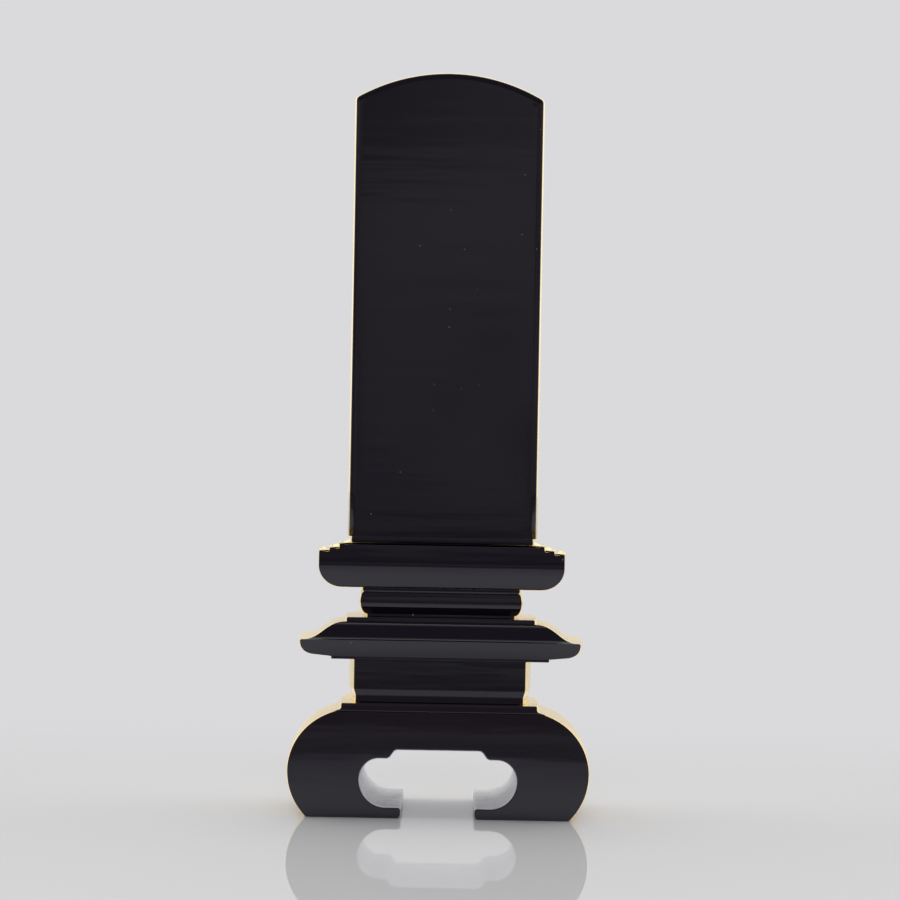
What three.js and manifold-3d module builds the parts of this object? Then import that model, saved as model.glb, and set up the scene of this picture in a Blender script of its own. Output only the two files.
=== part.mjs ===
// Memorial tablet: a lacquered board with a domed top that stands in a carved lotus pedestal.
// Millimetres, +Z up, origin on the table under the middle. The plain back faces +Y, the carved front -Y.
// The pedestal is a stack of moulded blocks, glued face to face over four dowels. Every block has a flat
// back and the same moulding round its two sides and its front.
import * as THREE from 'three';
import { mergeVertices } from 'three/addons/utils/BufferGeometryUtils.js';
import Module from 'manifold-3d';

const wasm = await Module();
wasm.setup();

// Heights of the stacked pieces, from the table up
const baseHeight = 27.4;
const baseCapHeight = 2.0;
const waistHeight = 11.1;
const shoulderHeight = 10.7;
const neckHeight = 7.55;
const bowlHeight = 9.6;
const slabHeight = 1.5;
const boardHeight = 121.2;

// Fits
const petalClearance = 0.3;
const tenonClearance = 0.3;
const mortiseEndGap = 0.5;
const dowelClearance = 0.3;
const dowelEndGap = 0.5;

// Plan of every block: how square the front corners are, and how far forward its widest place lies
const cornerPower = 3.4;
const widestShare = 0.55;

// How much of a moulding's depth at the sides it keeps at the back and at the front
const backShare = 0.35;
const frontShare = 0.6;

// Foot block: its side is two parts of ellipses that meet where it is widest
const baseHalfWidth = 39.3;
const baseBack = 24.25;
const baseFront = 24.77;
const baseSideDraw = 0.45;
const baseWidestHeight = 11.8;
const baseSideRun = 17.1;
const baseFrontRun = 10.5;
const baseTopInset = 12.2;
const baseSoleInset = 4.9;

// Cloud-scroll opening through the foot block, open at the bottom between the toes
const archRise = 2.25;
const archStepRun = 3.0;
const shelfHeight = 15.3;
const shelfRun = 1.8;
const scrollHalfWidth = 20.2;
const scrollHeight = 9.9;
const scrollUpperRun = 5.0;
const scrollLowerRun = 6.8;
const toeHeight = 2.9;
const toeHalfWidth = 9.35;
const toeRadius = 0.9;
const toeUndercut = 1.3;
const toeUndercutHeight = 1.4;

// Lip plate, set in from the foot block's top edge, with a cove at its foot that runs out to that edge
const baseCapLedge = 1.4;
const baseCapCoveRun = 1.25;
const baseCapCoveFoot = 0.2;
const baseCapCoveHeight = 1.3;
const baseCapEase = 0.3;

// Waist block, set in from the lip plate
const waistSideLedge = 2.0;
const waistBackLedge = 3.75;
const waistFrontLedge = 2.65;
const waistSideDraw = 1.5;
const waistFootInset = 0.5;
const waistFootHeight = 1.8;
const waistChamferHeight = 1.6;

// Shoulder plate: foot, thin up-turned rim, ogee slope and lip, all measured out from the waist
const shoulderSideProud = 13.2;
const shoulderBackProud = 3.0;
const shoulderFrontProud = 6.8;
const shoulderSideDraw = 0.7;
const shoulderFootProud = 5.2;
const shoulderFootHeight = 0.7;
const shoulderRimHeight = 4.6;
const shoulderRimUnderRise = 0.5;
const shoulderRimUnderRun = 3.0;
const shoulderRimRise = 0.45;
const shoulderRimRadius = 0.6;
const shoulderHollowShare = 0.43;
const shoulderCrownShare = 0.5;
const shoulderLipProud = 1.4;
const shoulderLipHeight = 1.1;
const shoulderLipEase = 0.6;

// Neck roll, set in from the shoulder's lip
const neckSideLedge = 3.7;
const neckBackLedge = 3.2;
const neckFrontLedge = 2.5;
const neckSideDraw = 0.4;
const neckFootInset = 1.8;
const neckFootHeight = 0.7;
const neckRollHeight = 3.95;
const neckTopInset = 0.9;
const neckBeadProud = 0.35;
const neckBeadHeight = 0.8;
const neckBeadGroove = 0.25;

// Lotus: three rows of petals round the sides and the front, standing out over the neck
const lotusSideProud = 9.9;
const lotusBackProud = 2.3;
const lotusFrontProud = 5.9;
const lotusSideDraw = 0.4;
const lotusRoundRun = 5.9;
const lotusRoundHeight = 5.6;
const petalSwell = 0.9;
const petalTipPower = 1.5;
const petalTipInset = 0.15;
const petalTipSwellShare = 0.75;
const petalRimWidth = 3.6;
const petalRimFall = 0.3;
const petalSeatSwellShare = 0.8;
const petalCheekShare = 0.85;
const petalSlopeDropShare = 0.45;
const petalSlopeTipShare = 0.6;
const outerPetals = 10;
const outerPetalDrop = 3.6;
const rowFrontShare = 0.8;
const middleRowInset = 2.7;
const middleRowHeight = 5.6;
const middleRowRise = 0.8;
const middlePetals = 9;
const middlePetalDrop = 2.6;
const upperRowInset = 2.6;
const upperRowHeight = 4.4;
const upperRowRise = 1.1;
const upperPetals = 8;
const upperPetalDrop = 1.6;
const upperTopInset = 2.4;

// Board, set forward from the lotus's back
const boardWidth = 49.6;
const boardThickness = 9.7;
const boardBackLedge = 8.5;
const boardDomeRadius = 48.6;
const boardCornerRadius = 0.8;
const boardSideBulge = 0.5;
const boardBackBevel = 1.2;
const boardBackBevelDepth = 0.5;
const boardFrontBevel = 2.0;
const boardFrontBevelDepth = 1.4;

// Slab under the board
const slabSideInset = 0.8;
const slabBackProud = 1.6;
const slabFrontProud = 3.7;
const slabSideDraw = 0.3;

// Tenon under the board
const tenonWidth = 18.0;
const tenonThickness = 5.6;
const tenonLength = 8.4;

// Dowels: the lower pair runs from the foot block to the shoulder, the upper pair from there to the lotus
const dowelRadius = 2.0;
const lowerDowelEdge = 6.7;
const lowerDowelInBase = 5.5;
const lowerDowelInShoulder = 4.4;
const upperDowelEdge = 8.8;
const upperDowelInShoulder = 4.4;
const upperDowelInBowl = 3.2;

// How far a cutter stands out of the piece that it cuts, and how near two points count as one
const cutterReach = 5;
const weldDistance = 1e-5;

// Fineness of the facets
const planSegments = 26;
const sideSegments = 3;
const rimSegments = 40;
const petalSegments = 8;
const roundSegments = 6;
const coveSegments = 4;
const baseSegments = 16;
const domeSegments = 12;
const bulgeSegments = 4;
const dowelSegments = 16;

// Surface finishes
const blackLacquer = new THREE.MeshStandardMaterial({ color: 0x18161b, roughness: 0.08, metalness: 0 });
const goldLeaf = new THREE.MeshStandardMaterial({ color: 0xd8b56c, roughness: 0.3, metalness: 1 });
const bareWood = new THREE.MeshStandardMaterial({ color: 0xc49a66, roughness: 0.7, metalness: 0 });

// Height at which each piece stands
const baseCapZ = baseHeight;
const waistZ = baseCapZ + baseCapHeight;
const shoulderZ = waistZ + waistHeight;
const neckZ = shoulderZ + shoulderHeight;
const bowlZ = neckZ + neckHeight;
const middleRimZ = bowlZ + bowlHeight + middleRowRise;
const middleRowZ = middleRimZ - middleRowHeight;
const upperRimZ = middleRimZ + upperRowRise;
const upperRowZ = upperRimZ - upperRowHeight;
const slabZ = upperRimZ;
const boardZ = slabZ + slabHeight;

// Closed solid with every vertex shared, from a geometry's positions alone
function solidOf(geometry) {
  const bare = new THREE.BufferGeometry();
  bare.setAttribute('position', geometry.getAttribute('position'));
  bare.setIndex(geometry.getIndex());
  const merged = mergeVertices(bare, weldDistance);
  const mesh = new wasm.Mesh({
    numProp: 3,
    vertProperties: new Float32Array(merged.getAttribute('position').array),
    triVerts: new Uint32Array(merged.getIndex().array),
  });
  return new wasm.Manifold(mesh);
}

function geometryOf(solid) {
  const mesh = solid.getMesh();
  const geometry = new THREE.BufferGeometry();
  geometry.setAttribute('position', new THREE.BufferAttribute(mesh.vertProperties, 3));
  geometry.setIndex(new THREE.BufferAttribute(mesh.triVerts, 1));
  geometry.computeVertexNormals();
  return geometry;
}

function cut(geometry, ...cutters) {
  let solid = solidOf(geometry);
  for (const cutter of cutters) solid = solid.subtract(solidOf(cutter));
  return geometryOf(solid);
}

// Solid skinned over rings of points. Every ring has the same count and runs anticlockwise seen from above.
function skin(rings) {
  const count = rings[0].length;
  const positions = rings.flat().flatMap((point) => [point.x, point.y, point.z]);
  const index = [];
  for (let level = 0; level < rings.length - 1; level += 1) {
    for (let k = 0; k < count; k += 1) {
      const a = level * count + k;
      const b = level * count + ((k + 1) % count);
      index.push(a, b, b + count, a, b + count, a + count);
    }
  }
  for (const [level, facesUp] of [[0, false], [rings.length - 1, true]]) {
    const flat = rings[level].map((point) => new THREE.Vector2(point.x, point.y));
    for (const [p, q, r] of THREE.ShapeUtils.triangulateShape(flat, [])) {
      const isUp = !THREE.ShapeUtils.isClockWise([flat[p], flat[q], flat[r]]);
      const [second, third] = isUp === facesUp ? [q, r] : [r, q];
      index.push(level * count + p, level * count + second, level * count + third);
    }
  }
  const geometry = new THREE.BufferGeometry();
  geometry.setAttribute('position', new THREE.Float32BufferAttribute(positions, 3));
  geometry.setIndex(index);
  return geometry;
}

// The three moulded sides of a block seen from above, clockwise from the right back corner through the
// front to the left back corner. The sides are widest part way and draw in towards the flat back, and the
// front is half a superellipse.
function mouldedSides({ halfWidth, back, front, sideDraw }, segments = planSegments) {
  const widestY = back - (back + front) * (1 - widestShare);
  const points = [];
  for (let k = 0; k < sideSegments; k += 1) {
    const towardsBack = 1 - k / sideSegments;
    const x = halfWidth - sideDraw * towardsBack ** 2;
    points.push(new THREE.Vector2(x, widestY + (back - widestY) * towardsBack));
  }
  const leftSide = points.map((point) => new THREE.Vector2(-point.x, point.y)).reverse();
  points.push(new THREE.Vector2(halfWidth, widestY));
  for (let k = 1; k < segments; k += 1) {
    const angle = (Math.PI * k) / segments;
    const across = Math.sign(Math.cos(angle)) * Math.abs(Math.cos(angle)) ** (2 / cornerPower);
    const forward = Math.sin(angle) ** (2 / cornerPower);
    points.push(new THREE.Vector2(halfWidth * across, widestY - (widestY + front) * forward));
  }
  points.push(new THREE.Vector2(-halfWidth, widestY));
  return [...points, ...leftSide];
}

// Ring of a plan at one height, turned to run anticlockwise
function ringAt(plan, z) {
  return plan.map((point) => new THREE.Vector3(point.x, point.y, z)).reverse();
}

// Plan of a block drawn in by a moulding's inset at the sides, and by its shares of it back and front. What
// stands out past the block's plan does so at the sides and the front only, and stays flush at the back.
function drawnIn(block, inset) {
  return {
    halfWidth: block.halfWidth - inset,
    back: block.back - backShare * Math.max(inset, 0),
    front: block.front - frontShare * inset,
    sideDraw: block.sideDraw,
  };
}

// Block with a moulding round it, whose profile gives insets against heights
function mouldedBlock(block, profile) {
  return skin(profile.map(({ x, y }) => ringAt(mouldedSides(drawnIn(block, x)), block.z + y)));
}

// Round bar or bore along Z
function upright(radius, fromZ, toZ, x, y) {
  const geometry = new THREE.CylinderGeometry(radius, radius, toZ - fromZ, dowelSegments);
  geometry.rotateX(Math.PI / 2);
  geometry.translate(x, y, (fromZ + toZ) / 2);
  return geometry;
}

function box(width, thickness, fromZ, toZ, y) {
  const geometry = new THREE.BoxGeometry(width, thickness, toZ - fromZ);
  geometry.translate(0, y, (fromZ + toZ) / 2);
  return geometry;
}

// Foot block, worked out by the angle round its side from the sole's edge to the top edge
const soleAngle = -Math.acos(1 - baseSoleInset / baseSideRun);
const topAngle = Math.acos(1 - baseTopInset / baseSideRun);

function basePlan(angle) {
  const drawn = 1 - Math.cos(angle);
  return {
    halfWidth: baseHalfWidth - baseSideRun * drawn,
    back: baseBack,
    front: baseFront - baseFrontRun * drawn,
    sideDraw: baseSideDraw,
  };
}

function baseSideZ(angle) {
  const below = baseWidestHeight * (1 - Math.sin(angle) / Math.sin(soleAngle));
  const above = baseWidestHeight + (baseHeight - baseWidestHeight) * (Math.sin(angle) / Math.sin(topAngle));
  return angle < 0 ? below : above;
}

// Right half of the opening's outline seen from the front, from under the toe up to the arch
function openingSide(below) {
  const side = new THREE.Path();
  const toeTop = toeHeight - toeRadius;
  const lowerCentre = scrollHalfWidth - scrollLowerRun;
  const upperCentre = scrollHalfWidth - scrollUpperRun;
  const shelfEnd = upperCentre - shelfRun;
  const archEnd = shelfEnd - archStepRun;
  const archHeight = shelfHeight + archRise;
  side.moveTo(toeHalfWidth + toeUndercut, -below);
  side.lineTo(toeHalfWidth + toeUndercut, 0);
  side.quadraticCurveTo(toeHalfWidth, 0, toeHalfWidth, toeUndercutHeight);
  side.lineTo(toeHalfWidth, toeTop);
  side.absarc(toeHalfWidth + toeRadius, toeTop, toeRadius, Math.PI, Math.PI / 2, true);
  side.absellipse(lowerCentre, scrollHeight, scrollLowerRun, scrollHeight - toeHeight, -Math.PI / 2, 0, false);
  side.absellipse(upperCentre, scrollHeight, scrollUpperRun, shelfHeight - scrollHeight, 0, Math.PI / 2, false);
  side.lineTo(shelfEnd, shelfHeight);
  side.bezierCurveTo(
    shelfEnd - archStepRun / 2, shelfHeight,
    archEnd + archStepRun / 2, archHeight,
    archEnd, archHeight,
  );
  return side.getPoints(roundSegments);
}

function cloudOpening() {
  const right = openingSide(cutterReach);
  const left = right.map((point) => new THREE.Vector2(-point.x, point.y)).reverse();
  const depth = baseBack + baseFront + 2 * cutterReach;
  const geometry = new THREE.ExtrudeGeometry(new THREE.Shape([...right, ...left]), { depth, bevelEnabled: false });
  geometry.rotateX(Math.PI / 2);
  geometry.translate(0, baseBack + cutterReach, 0);
  return geometry;
}

function baseBody() {
  const rings = [];
  for (let k = 0; k <= baseSegments; k += 1) {
    const angle = soleAngle + (topAngle - soleAngle) * (k / baseSegments);
    rings.push(ringAt(mouldedSides(basePlan(angle)), baseSideZ(angle)));
  }
  return cut(skin(rings), cloudOpening(), ...lowerBores());
}

// Lip plate, flush with the foot block at the back
const baseTop = basePlan(topAngle);
const capBlock = {
  halfWidth: baseTop.halfWidth - baseCapLedge,
  back: baseBack,
  front: baseTop.front - baseCapLedge,
  sideDraw: baseSideDraw,
  z: baseCapZ,
};

function baseCap() {
  const profile = new THREE.Path();
  profile.moveTo(-baseCapCoveRun, 0);
  profile.lineTo(-baseCapCoveRun, baseCapCoveFoot);
  profile.quadraticCurveTo(0, baseCapCoveFoot, 0, baseCapCoveHeight);
  profile.lineTo(0, baseCapHeight - baseCapEase);
  profile.lineTo(baseCapEase, baseCapHeight);
  return cut(mouldedBlock(capBlock, profile.getPoints(coveSegments)), ...lowerBores());
}

// Waist block: a set-in foot under a chamfer
const waistBlock = {
  halfWidth: capBlock.halfWidth - waistSideLedge,
  back: capBlock.back - waistBackLedge,
  front: capBlock.front - waistFrontLedge,
  sideDraw: waistSideDraw,
  z: waistZ,
};

function waist() {
  const profile = new THREE.Path();
  profile.moveTo(waistFootInset, 0);
  profile.lineTo(waistFootInset, waistFootHeight);
  profile.lineTo(0, waistFootHeight + waistChamferHeight);
  profile.lineTo(0, waistHeight);
  return cut(mouldedBlock(waistBlock, profile.getPoints(1)), ...lowerBores());
}

// Shoulder plate: foot, flat underside, round rim, ogee slope that is hollow below and full above, lip
const shoulderBlock = {
  halfWidth: waistBlock.halfWidth + shoulderSideProud,
  back: waistBlock.back + shoulderBackProud,
  front: waistBlock.front + shoulderFrontProud,
  sideDraw: shoulderSideDraw,
  z: shoulderZ,
};
const shoulderLipInset = shoulderSideProud - shoulderLipProud;

function shoulderPlate() {
  const footInset = shoulderSideProud - shoulderFootProud;
  const underZ = shoulderFootHeight + shoulderRimUnderRise;
  const slopeFootZ = shoulderRimHeight + shoulderRimRise;
  const slopeTopZ = shoulderHeight - shoulderLipHeight;
  const slopeRun = shoulderLipInset - shoulderRimRadius;
  const profile = new THREE.Path();
  profile.moveTo(footInset, 0);
  profile.lineTo(footInset, shoulderFootHeight);
  profile.lineTo(shoulderRimUnderRun, underZ);
  profile.quadraticCurveTo(0, underZ + shoulderRimRadius, 0, shoulderRimHeight);
  profile.quadraticCurveTo(0, slopeFootZ, shoulderRimRadius, slopeFootZ);
  profile.bezierCurveTo(
    shoulderRimRadius + slopeRun * shoulderHollowShare, slopeFootZ,
    shoulderRimRadius + slopeRun * shoulderCrownShare, slopeTopZ,
    shoulderLipInset, slopeTopZ,
  );
  profile.lineTo(shoulderLipInset, shoulderHeight - shoulderLipEase);
  profile.lineTo(shoulderLipInset + shoulderLipEase, shoulderHeight);
  return cut(mouldedBlock(shoulderBlock, profile.getPoints(roundSegments)), ...lowerBores(), ...upperBores());
}

// Neck roll: a set-in foot, the roll and a bead under the lotus
const shoulderLip = drawnIn(shoulderBlock, shoulderLipInset);
const neckBlock = {
  halfWidth: shoulderLip.halfWidth - neckSideLedge,
  back: shoulderLip.back - neckBackLedge,
  front: shoulderLip.front - neckFrontLedge,
  sideDraw: neckSideDraw,
  z: neckZ,
};

function neckRoll() {
  const beadZ = neckHeight - neckBeadHeight;
  const profile = new THREE.Path();
  profile.moveTo(neckFootInset, 0);
  profile.lineTo(neckFootInset, neckFootHeight);
  profile.absellipse(
    neckFootInset, neckRollHeight, neckFootInset, neckRollHeight - neckFootHeight,
    -Math.PI / 2, -Math.PI, true,
  );
  profile.absellipse(
    neckTopInset, neckRollHeight, neckTopInset, beadZ - neckBeadGroove - neckRollHeight,
    Math.PI, Math.PI / 2, true,
  );
  profile.lineTo(neckTopInset - neckBeadProud, beadZ);
  profile.lineTo(neckTopInset - neckBeadProud, neckHeight);
  return cut(mouldedBlock(neckBlock, profile.getPoints(roundSegments)), ...upperBores());
}

// Lotus rows: each inner row stands in a pocket of the row outside it, and all are flush at the back
const lotusBack = neckBlock.back + lotusBackProud;
const outerRow = {
  halfWidth: neckBlock.halfWidth + lotusSideProud,
  back: lotusBack,
  front: neckBlock.front + lotusFrontProud,
  sideDraw: lotusSideDraw,
  z: bowlZ,
  petals: outerPetals,
  drop: outerPetalDrop,
};
const middleRow = {
  halfWidth: outerRow.halfWidth - middleRowInset,
  back: lotusBack,
  front: outerRow.front - rowFrontShare * middleRowInset,
  sideDraw: lotusSideDraw,
  z: middleRowZ,
  petals: middlePetals,
  drop: middlePetalDrop,
};
const upperRow = {
  halfWidth: middleRow.halfWidth - upperRowInset,
  back: lotusBack,
  front: middleRow.front - rowFrontShare * upperRowInset,
  sideDraw: lotusSideDraw,
  z: upperRowZ,
  petals: upperPetals,
  drop: upperPetalDrop,
};

// One row of petals along the three moulded sides. Each petal swells out from the rim and rises to a tip,
// and half a petal stands at each back corner. A level gives its inset from the rim, its height, how much
// of the swell shows there and how far it follows the tips.
function petalRow(row, levels) {
  const rim = new THREE.SplineCurve(mouldedSides(row, rimSegments));
  const stations = row.petals * petalSegments;
  const rings = levels.map(() => []);
  for (let k = 0; k <= stations; k += 1) {
    const isCorner = k === 0 || k === stations;
    const at = rim.getPointAt(k / stations);
    const along = rim.getTangentAt(k / stations);
    const outward = isCorner ? new THREE.Vector2(Math.sign(at.x), 0) : new THREE.Vector2(-along.y, along.x);
    const acrossPetal = 2 * (((k / petalSegments) + 0.5) % 1) - 1;
    const swell = petalSwell * Math.sqrt(1 - acrossPetal ** 2);
    const tipDrop = row.drop * Math.abs(acrossPetal) ** petalTipPower;
    levels.forEach(({ inset, rise, swellShare, tipShare }, level) => {
      const offset = swell * swellShare - inset;
      const back = row.back - backShare * inset;
      const y = isCorner ? back : Math.min(at.y + outward.y * offset, back);
      rings[level].push(new THREE.Vector3(at.x + outward.x * offset, y, row.z + rise - tipDrop * tipShare));
    });
  }
  return skin(rings.map((ring) => ring.reverse()));
}

// Room for a row to seat in the row outside it, with the petal clearance, open at the back and the top
function pocketFor(row) {
  const grow = petalSwell + petalClearance;
  const sides = mouldedSides({ ...row, halfWidth: row.halfWidth + grow, front: row.front + grow }, rimSegments);
  const [rightEnd, leftEnd] = [1, -1].map((side) => new THREE.Vector2(side * sides[0].x, row.back + cutterReach));
  const plan = [rightEnd, ...sides, leftEnd];
  return skin([ringAt(plan, row.z), ringAt(plan, boardZ + cutterReach)]);
}

function lotusBowl() {
  const levels = [];
  for (let k = 0; k <= roundSegments; k += 1) {
    const angle = (Math.PI / 2) * (k / roundSegments);
    levels.push({
      inset: lotusRoundRun * (1 - Math.sin(angle)),
      rise: lotusRoundHeight * (1 - Math.cos(angle)),
      swellShare: Math.sin(angle),
      tipShare: 0,
    });
  }
  levels.push({
    inset: 0,
    rise: bowlHeight - outerPetalDrop * petalSlopeDropShare,
    swellShare: 1,
    tipShare: petalSlopeTipShare,
  });
  levels.push(...petalRim(bowlHeight));
  return cut(petalRow(outerRow, levels), pocketFor(middleRow), mortise(), ...upperBores());
}

// The edge of a row's petals: its sharp outer line and the rim that falls a little behind it
function petalRim(height) {
  return [
    { inset: petalTipInset, rise: height, swellShare: petalTipSwellShare, tipShare: 1 },
    { inset: petalRimWidth, rise: height - petalRimFall, swellShare: petalTipSwellShare, tipShare: 1 },
  ];
}

// The outside of an inner row's petals, from its seat up to half way along the slopes of the tips
function petalFace(height, drop) {
  return [
    { inset: 0, rise: 0, swellShare: petalSeatSwellShare, tipShare: 0 },
    { inset: 0, rise: (height - drop) * petalCheekShare, swellShare: 1, tipShare: 0 },
    { inset: 0, rise: height - drop * petalSlopeDropShare, swellShare: 1, tipShare: petalSlopeTipShare },
  ];
}

function middlePetalRow() {
  const levels = [...petalFace(middleRowHeight, middlePetalDrop), ...petalRim(middleRowHeight)];
  return cut(petalRow(middleRow, levels), pocketFor(upperRow), mortise());
}

// The upper row has a level top inside its tips, for the slab
function upperPetalRow() {
  const levels = [...petalFace(upperRowHeight, upperPetalDrop), ...petalRim(upperRowHeight)];
  levels[levels.length - 1] = { inset: upperTopInset, rise: upperRowHeight, swellShare: 0, tipShare: 0 };
  return cut(petalRow(upperRow, levels), mortise());
}

// Board and the slab under it
const boardBack = lotusBack - boardBackLedge;
const boardFront = boardThickness - boardBack;
const tenonY = boardBack - boardThickness / 2;

function seedPodSlab() {
  const plan = mouldedSides({
    halfWidth: boardWidth / 2 - slabSideInset,
    back: boardBack + slabBackProud,
    front: boardFront + slabFrontProud,
    sideDraw: slabSideDraw,
  });
  return cut(skin([ringAt(plan, slabZ), ringAt(plan, boardZ)]), mortise());
}

// Board outline seen from the front, drawn in at the sides and the dome but not at the foot
function boardRing(inset, depth) {
  const halfWidth = boardWidth / 2 - inset;
  const domeRadius = boardDomeRadius - inset;
  const domeCentre = boardHeight - boardDomeRadius;
  const springAngle = Math.acos(halfWidth / domeRadius);
  const springZ = domeCentre + domeRadius * Math.sin(springAngle);
  const domeStart = springAngle + boardCornerRadius / domeRadius;
  const outline = new THREE.Path();
  outline.moveTo(-halfWidth, 0);
  outline.lineTo(halfWidth, 0);
  outline.lineTo(halfWidth, springZ - boardCornerRadius);
  outline.quadraticCurveTo(
    halfWidth, springZ,
    domeRadius * Math.cos(domeStart), domeCentre + domeRadius * Math.sin(domeStart),
  );
  outline.absarc(0, domeCentre, domeRadius, domeStart, Math.PI - domeStart, false);
  outline.quadraticCurveTo(-halfWidth, springZ, -halfWidth, springZ - boardCornerRadius);
  return outline.getPoints(domeSegments).map((point) => new THREE.Vector3(point.x, point.y, depth));
}

function tabletBoard() {
  const sideDepth = boardThickness - boardBackBevelDepth - boardFrontBevelDepth;
  const rings = [boardRing(boardSideBulge + boardBackBevel, 0)];
  for (let k = 0; k <= bulgeSegments; k += 1) {
    const share = k / bulgeSegments;
    rings.push(boardRing(boardSideBulge * (2 * share - 1) ** 2, boardBackBevelDepth + sideDepth * share));
  }
  rings.push(boardRing(boardSideBulge + boardFrontBevel, boardThickness));
  const slab = skin(rings);
  slab.rotateX(Math.PI / 2);
  slab.translate(0, boardBack, boardZ);
  const tenon = box(tenonWidth, tenonThickness, boardZ - tenonLength, boardZ + tenonThickness, tenonY);
  return geometryOf(solidOf(slab).add(solidOf(tenon)));
}

function mortise() {
  const width = tenonWidth + 2 * tenonClearance;
  const thickness = tenonThickness + 2 * tenonClearance;
  return box(width, thickness, boardZ - tenonLength - mortiseEndGap, boardZ + slabHeight, tenonY);
}

// Dowel pairs, and their bores with the clearance all round and the gap at both ends
const lowerDowels = {
  spread: waistBlock.halfWidth - lowerDowelEdge,
  fromZ: baseHeight - lowerDowelInBase,
  toZ: shoulderZ + lowerDowelInShoulder,
};
const upperDowels = {
  spread: neckBlock.halfWidth - upperDowelEdge,
  fromZ: neckZ - upperDowelInShoulder,
  toZ: bowlZ + upperDowelInBowl,
};

function dowel(pair, side) {
  return upright(dowelRadius, pair.fromZ, pair.toZ, side * pair.spread, tenonY);
}

function bores(pair) {
  const radius = dowelRadius + dowelClearance;
  const [fromZ, toZ] = [pair.fromZ - dowelEndGap, pair.toZ + dowelEndGap];
  return [-1, 1].map((side) => upright(radius, fromZ, toZ, side * pair.spread, tenonY));
}

function lowerBores() {
  return bores(lowerDowels);
}

function upperBores() {
  return bores(upperDowels);
}

const tablet = new THREE.Group();

function place(name, geometry, material) {
  const mesh = new THREE.Mesh(geometry, material);
  mesh.name = name;
  tablet.add(mesh);
}

place('base_body', baseBody(), blackLacquer);
place('base_cap', baseCap(), blackLacquer);
place('waist_block', waist(), blackLacquer);
place('shoulder_plate', shoulderPlate(), blackLacquer);
place('neck_roll', neckRoll(), blackLacquer);
place('lotus_bowl', lotusBowl(), goldLeaf);
place('lotus_middle_petals', middlePetalRow(), goldLeaf);
place('lotus_upper_petals', upperPetalRow(), goldLeaf);
place('seed_pod_slab', seedPodSlab(), goldLeaf);
place('tablet_board', tabletBoard(), blackLacquer);
for (const [side, word] of [[-1, 'left'], [1, 'right']]) {
  place(`lower_dowel_${word}`, dowel(lowerDowels, side), bareWood);
  place(`upper_dowel_${word}`, dowel(upperDowels, side), bareWood);
}

export default tablet;
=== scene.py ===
import math

import bmesh
import bpy
import numpy as np
from mathutils import Matrix, Vector


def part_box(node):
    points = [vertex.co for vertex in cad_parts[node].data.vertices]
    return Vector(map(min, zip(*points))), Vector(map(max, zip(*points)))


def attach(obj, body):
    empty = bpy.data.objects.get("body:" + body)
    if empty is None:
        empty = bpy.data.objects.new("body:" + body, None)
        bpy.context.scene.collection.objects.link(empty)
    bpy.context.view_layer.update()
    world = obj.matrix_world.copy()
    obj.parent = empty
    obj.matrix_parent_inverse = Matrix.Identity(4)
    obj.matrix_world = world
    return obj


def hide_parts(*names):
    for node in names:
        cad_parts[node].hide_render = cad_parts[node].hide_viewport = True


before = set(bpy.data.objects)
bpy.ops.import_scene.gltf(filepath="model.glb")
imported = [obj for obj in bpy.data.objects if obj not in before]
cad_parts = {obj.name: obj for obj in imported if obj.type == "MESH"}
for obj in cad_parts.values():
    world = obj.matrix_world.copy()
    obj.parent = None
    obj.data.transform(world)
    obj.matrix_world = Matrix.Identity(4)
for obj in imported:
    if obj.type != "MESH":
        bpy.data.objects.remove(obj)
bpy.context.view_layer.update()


# Foot block
# A rounded block of wood with a cloud-scroll opening sawn through it from back to front, which leaves two
# curled toes. Its back is black lacquer polished to a mirror, its front and sides are gold leaf, and the
# walls of the opening are painted satin silver-grey.
MM = 0.001
CORNER_POWER = 3.4
WIDEST_SHARE = 0.55
ARRIS = 0.4 * MM


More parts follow.
